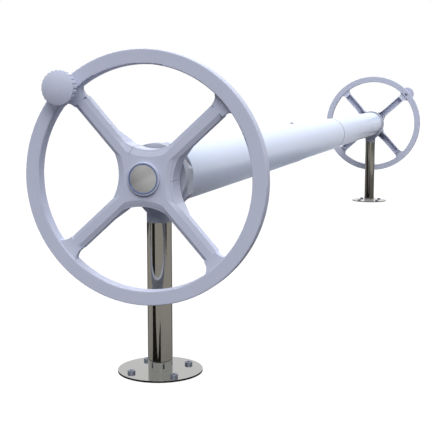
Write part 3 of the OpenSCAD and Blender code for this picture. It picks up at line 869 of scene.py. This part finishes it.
    def card(self, studio):
        """A light card on the floor under the roller, which only sends soft light up to it."""
        f = self.matt("light_card", studio.card_colour)
        under = f.add("ShaderNodeNewGeometry", out="Backfacing")
        clear = f.add("ShaderNodeBsdfTransparent")
        f.show(f.add("ShaderNodeMixShader", {}, {0: under, 1: f.surface.outputs[0], 2: clear}))
        corners = self.corners(studio.card_start, studio.card_end, studio.card_width)
        self.seen_only(self.sheet("light_card", f.material, corners, CARD_HEIGHT), "diffuse")

    def matt(self, name, colour):
        """A matt finish of one colour."""
        f = Finish(name)
        f.set(base_color=tuple(colour), roughness=1.0, specular_ior_level=0.0)
        return f

    def corners(self, start, end, width):
        """Corners of a rectangle along X, as wide as said across it."""
        half = width / 2
        return ((start, -half), (end, -half), (end, half), (start, half))

    def sheet(self, name, material, outline, height):
        """One flat piece from its outline."""
        points = [(x, y, height) for x, y in outline]
        return flat(name, material, points, [tuple(range(len(outline)))])

    def seen_only(self, piece, seen):
        """Lets only one kind of ray see a piece: glossy from mirror-like surfaces, diffuse from the rest."""
        for kind in ("camera", "diffuse", "glossy", "shadow", "transmission"):
            setattr(piece, "visible_" + kind, kind == seen)


class REEL_OT_mouldings(bpy.types.Operator):
    """Finish the handwheels, bearing heads, caps and knobs"""

    bl_idname = "reel.mouldings"
    bl_label = "Mouldings"

    def execute(self, context):
        settings = context.scene.reel_finishes
        plain = moulded_finish(settings, "moulded_plastic", settings.moulded_colour)
        # The heads take a darker copy of the moulded plastic, a painted shade
        head = moulded_finish(settings, "moulded_head", settings.shaded_head_colour)
        wheel = moulded_finish(
            settings, "moulded_wheel", settings.moulded_colour, joint_lines=HUB_LINES, bevelled=True)
        dress(plain, both("_hub_cap", "_knob", "_knob_cap"))
        dress(head, both("_head"))
        dress(wheel, both("_wheel"))
        return {"FINISHED"}


class REEL_OT_tubes(bpy.types.Operator):
    """Finish the three roller tubes"""

    bl_idname = "reel.tubes"
    bl_label = "Roller tubes"

    def execute(self, context):
        settings = context.scene.reel_finishes
        dress(coated_finish(settings, "white_coat"), ["outer_tube", "inner_tube"])
        # The middle tube's end gets the dark band of painted seam shade
        middle_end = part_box("middle_tube")[1][0]
        dress(coated_finish(settings, "white_coat_middle", middle_end), ["middle_tube"])
        return {"FINISHED"}


class REEL_OT_pedestals(bpy.types.Operator):
    """Finish the polished posts and base plates"""

    bl_idname = "reel.pedestals"
    bl_label = "Posts and plates"

    def execute(self, context):
        settings = context.scene.reel_finishes
        dress(polished_finish(settings, "polished_post"), both("_post"))
        for end in ENDS:
            plate = polished_finish(settings, end + "_polished_plate", (POST_X[end], 0, 0))
            dress(plate, [end + "_base_plate"])
        return {"FINISHED"}


class REEL_OT_steel_parts(bpy.types.Operator):
    """Finish the screws, bolts, pins, washers and axles"""

    bl_idname = "reel.steel_parts"
    bl_label = "Screws and axles"

    def execute(self, context):
        settings = context.scene.reel_finishes
        screws = machined_finish("screw_steel", settings.screw_colour, roughness=0.30)
        turned = machined_finish(
            "turned_steel", settings.turned_colour, roughness=0.22, stretch=TURNED_STRETCH)
        dress(screws, both("_anchor_screws", "_knob_bolt", "_knob_washer", "_knob_nut", "_plug_screws"))
        dress(screws, ["outer_lock_screw", "middle_lock_screw"])
        dress(turned, both("_axle", "_wheel_pin", "_wheel_washer", "_wheel_bolt", "_plug_pin"))
        return {"FINISHED"}


class REEL_OT_cap_discs(bpy.types.Operator):
    """Finish the hub caps' brushed discs and add their enamel rings"""

    bl_idname = "reel.cap_discs"
    bl_label = "Cap discs"

    def execute(self, context):
        trim = context.scene.reel_trim
        enamel = ring_finish(trim)
        for end in ENDS:
            dress(disc_finish(trim, end), [end + "_cap_disc"])
            enamel_ring(trim, end).data.materials.append(enamel)
        return {"FINISHED"}


class REEL_OT_nylon_parts(bpy.types.Operator):
    """Finish the bushes and the tube plugs"""

    bl_idname = "reel.nylon_parts"
    bl_label = "Bushes and plugs"

    def execute(self, context):
        dress(nylon_finish(), both("_front_bush", "_rear_bush", "_plug"))
        return {"FINISHED"}


class REEL_PT_panel(bpy.types.Panel):
    """The reel's tools in the sidebar"""

    bl_idname = "REEL_PT_panel"
    bl_label = "Pool cover reel"
    bl_space_type = "VIEW_3D"
    bl_region_type = "UI"
    bl_category = "Reel"

    def draw(self, context):
        for operator in STEPS:
            self.layout.operator(operator.bl_idname)
        for group in GROUPS:
            settings = getattr(context.scene, group)
            column = self.layout.column(align=True)
            for name in settings.bl_rna.properties.keys():
                if name not in ("rna_type", "name"):
                    column.prop(settings, name)


GROUPS = {"reel_finishes": ReelFinishes, "reel_trim": ReelTrim, "reel_studio": ReelStudio}
STEPS = (
    REEL_OT_studio, REEL_OT_mouldings, REEL_OT_tubes, REEL_OT_pedestals, REEL_OT_steel_parts,
    REEL_OT_cap_discs, REEL_OT_nylon_parts)


def register():
    """Registers the settings, the operators and the panel."""
    for group in GROUPS.values():
        bpy.utils.register_class(group)
    for operator in STEPS:
        bpy.utils.register_class(operator)
    bpy.utils.register_class(REEL_PT_panel)
    for name, group in GROUPS.items():
        setattr(bpy.types.Scene, name, PointerProperty(type=group))


def unregister():
    """Takes them away again."""
    for name in GROUPS:
        delattr(bpy.types.Scene, name)
    bpy.utils.unregister_class(REEL_PT_panel)
    for operator in reversed(STEPS):
        bpy.utils.unregister_class(operator)
    for group in reversed(GROUPS.values()):
        bpy.utils.unregister_class(group)


def main():
    """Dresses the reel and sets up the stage."""
    register()
    bpy.ops.reel.studio()
    bpy.ops.reel.mouldings()
    bpy.ops.reel.tubes()
    bpy.ops.reel.pedestals()
    bpy.ops.reel.steel_parts()
    bpy.ops.reel.cap_discs()
    bpy.ops.reel.nylon_parts()


if __name__ == "__main__":
    main()
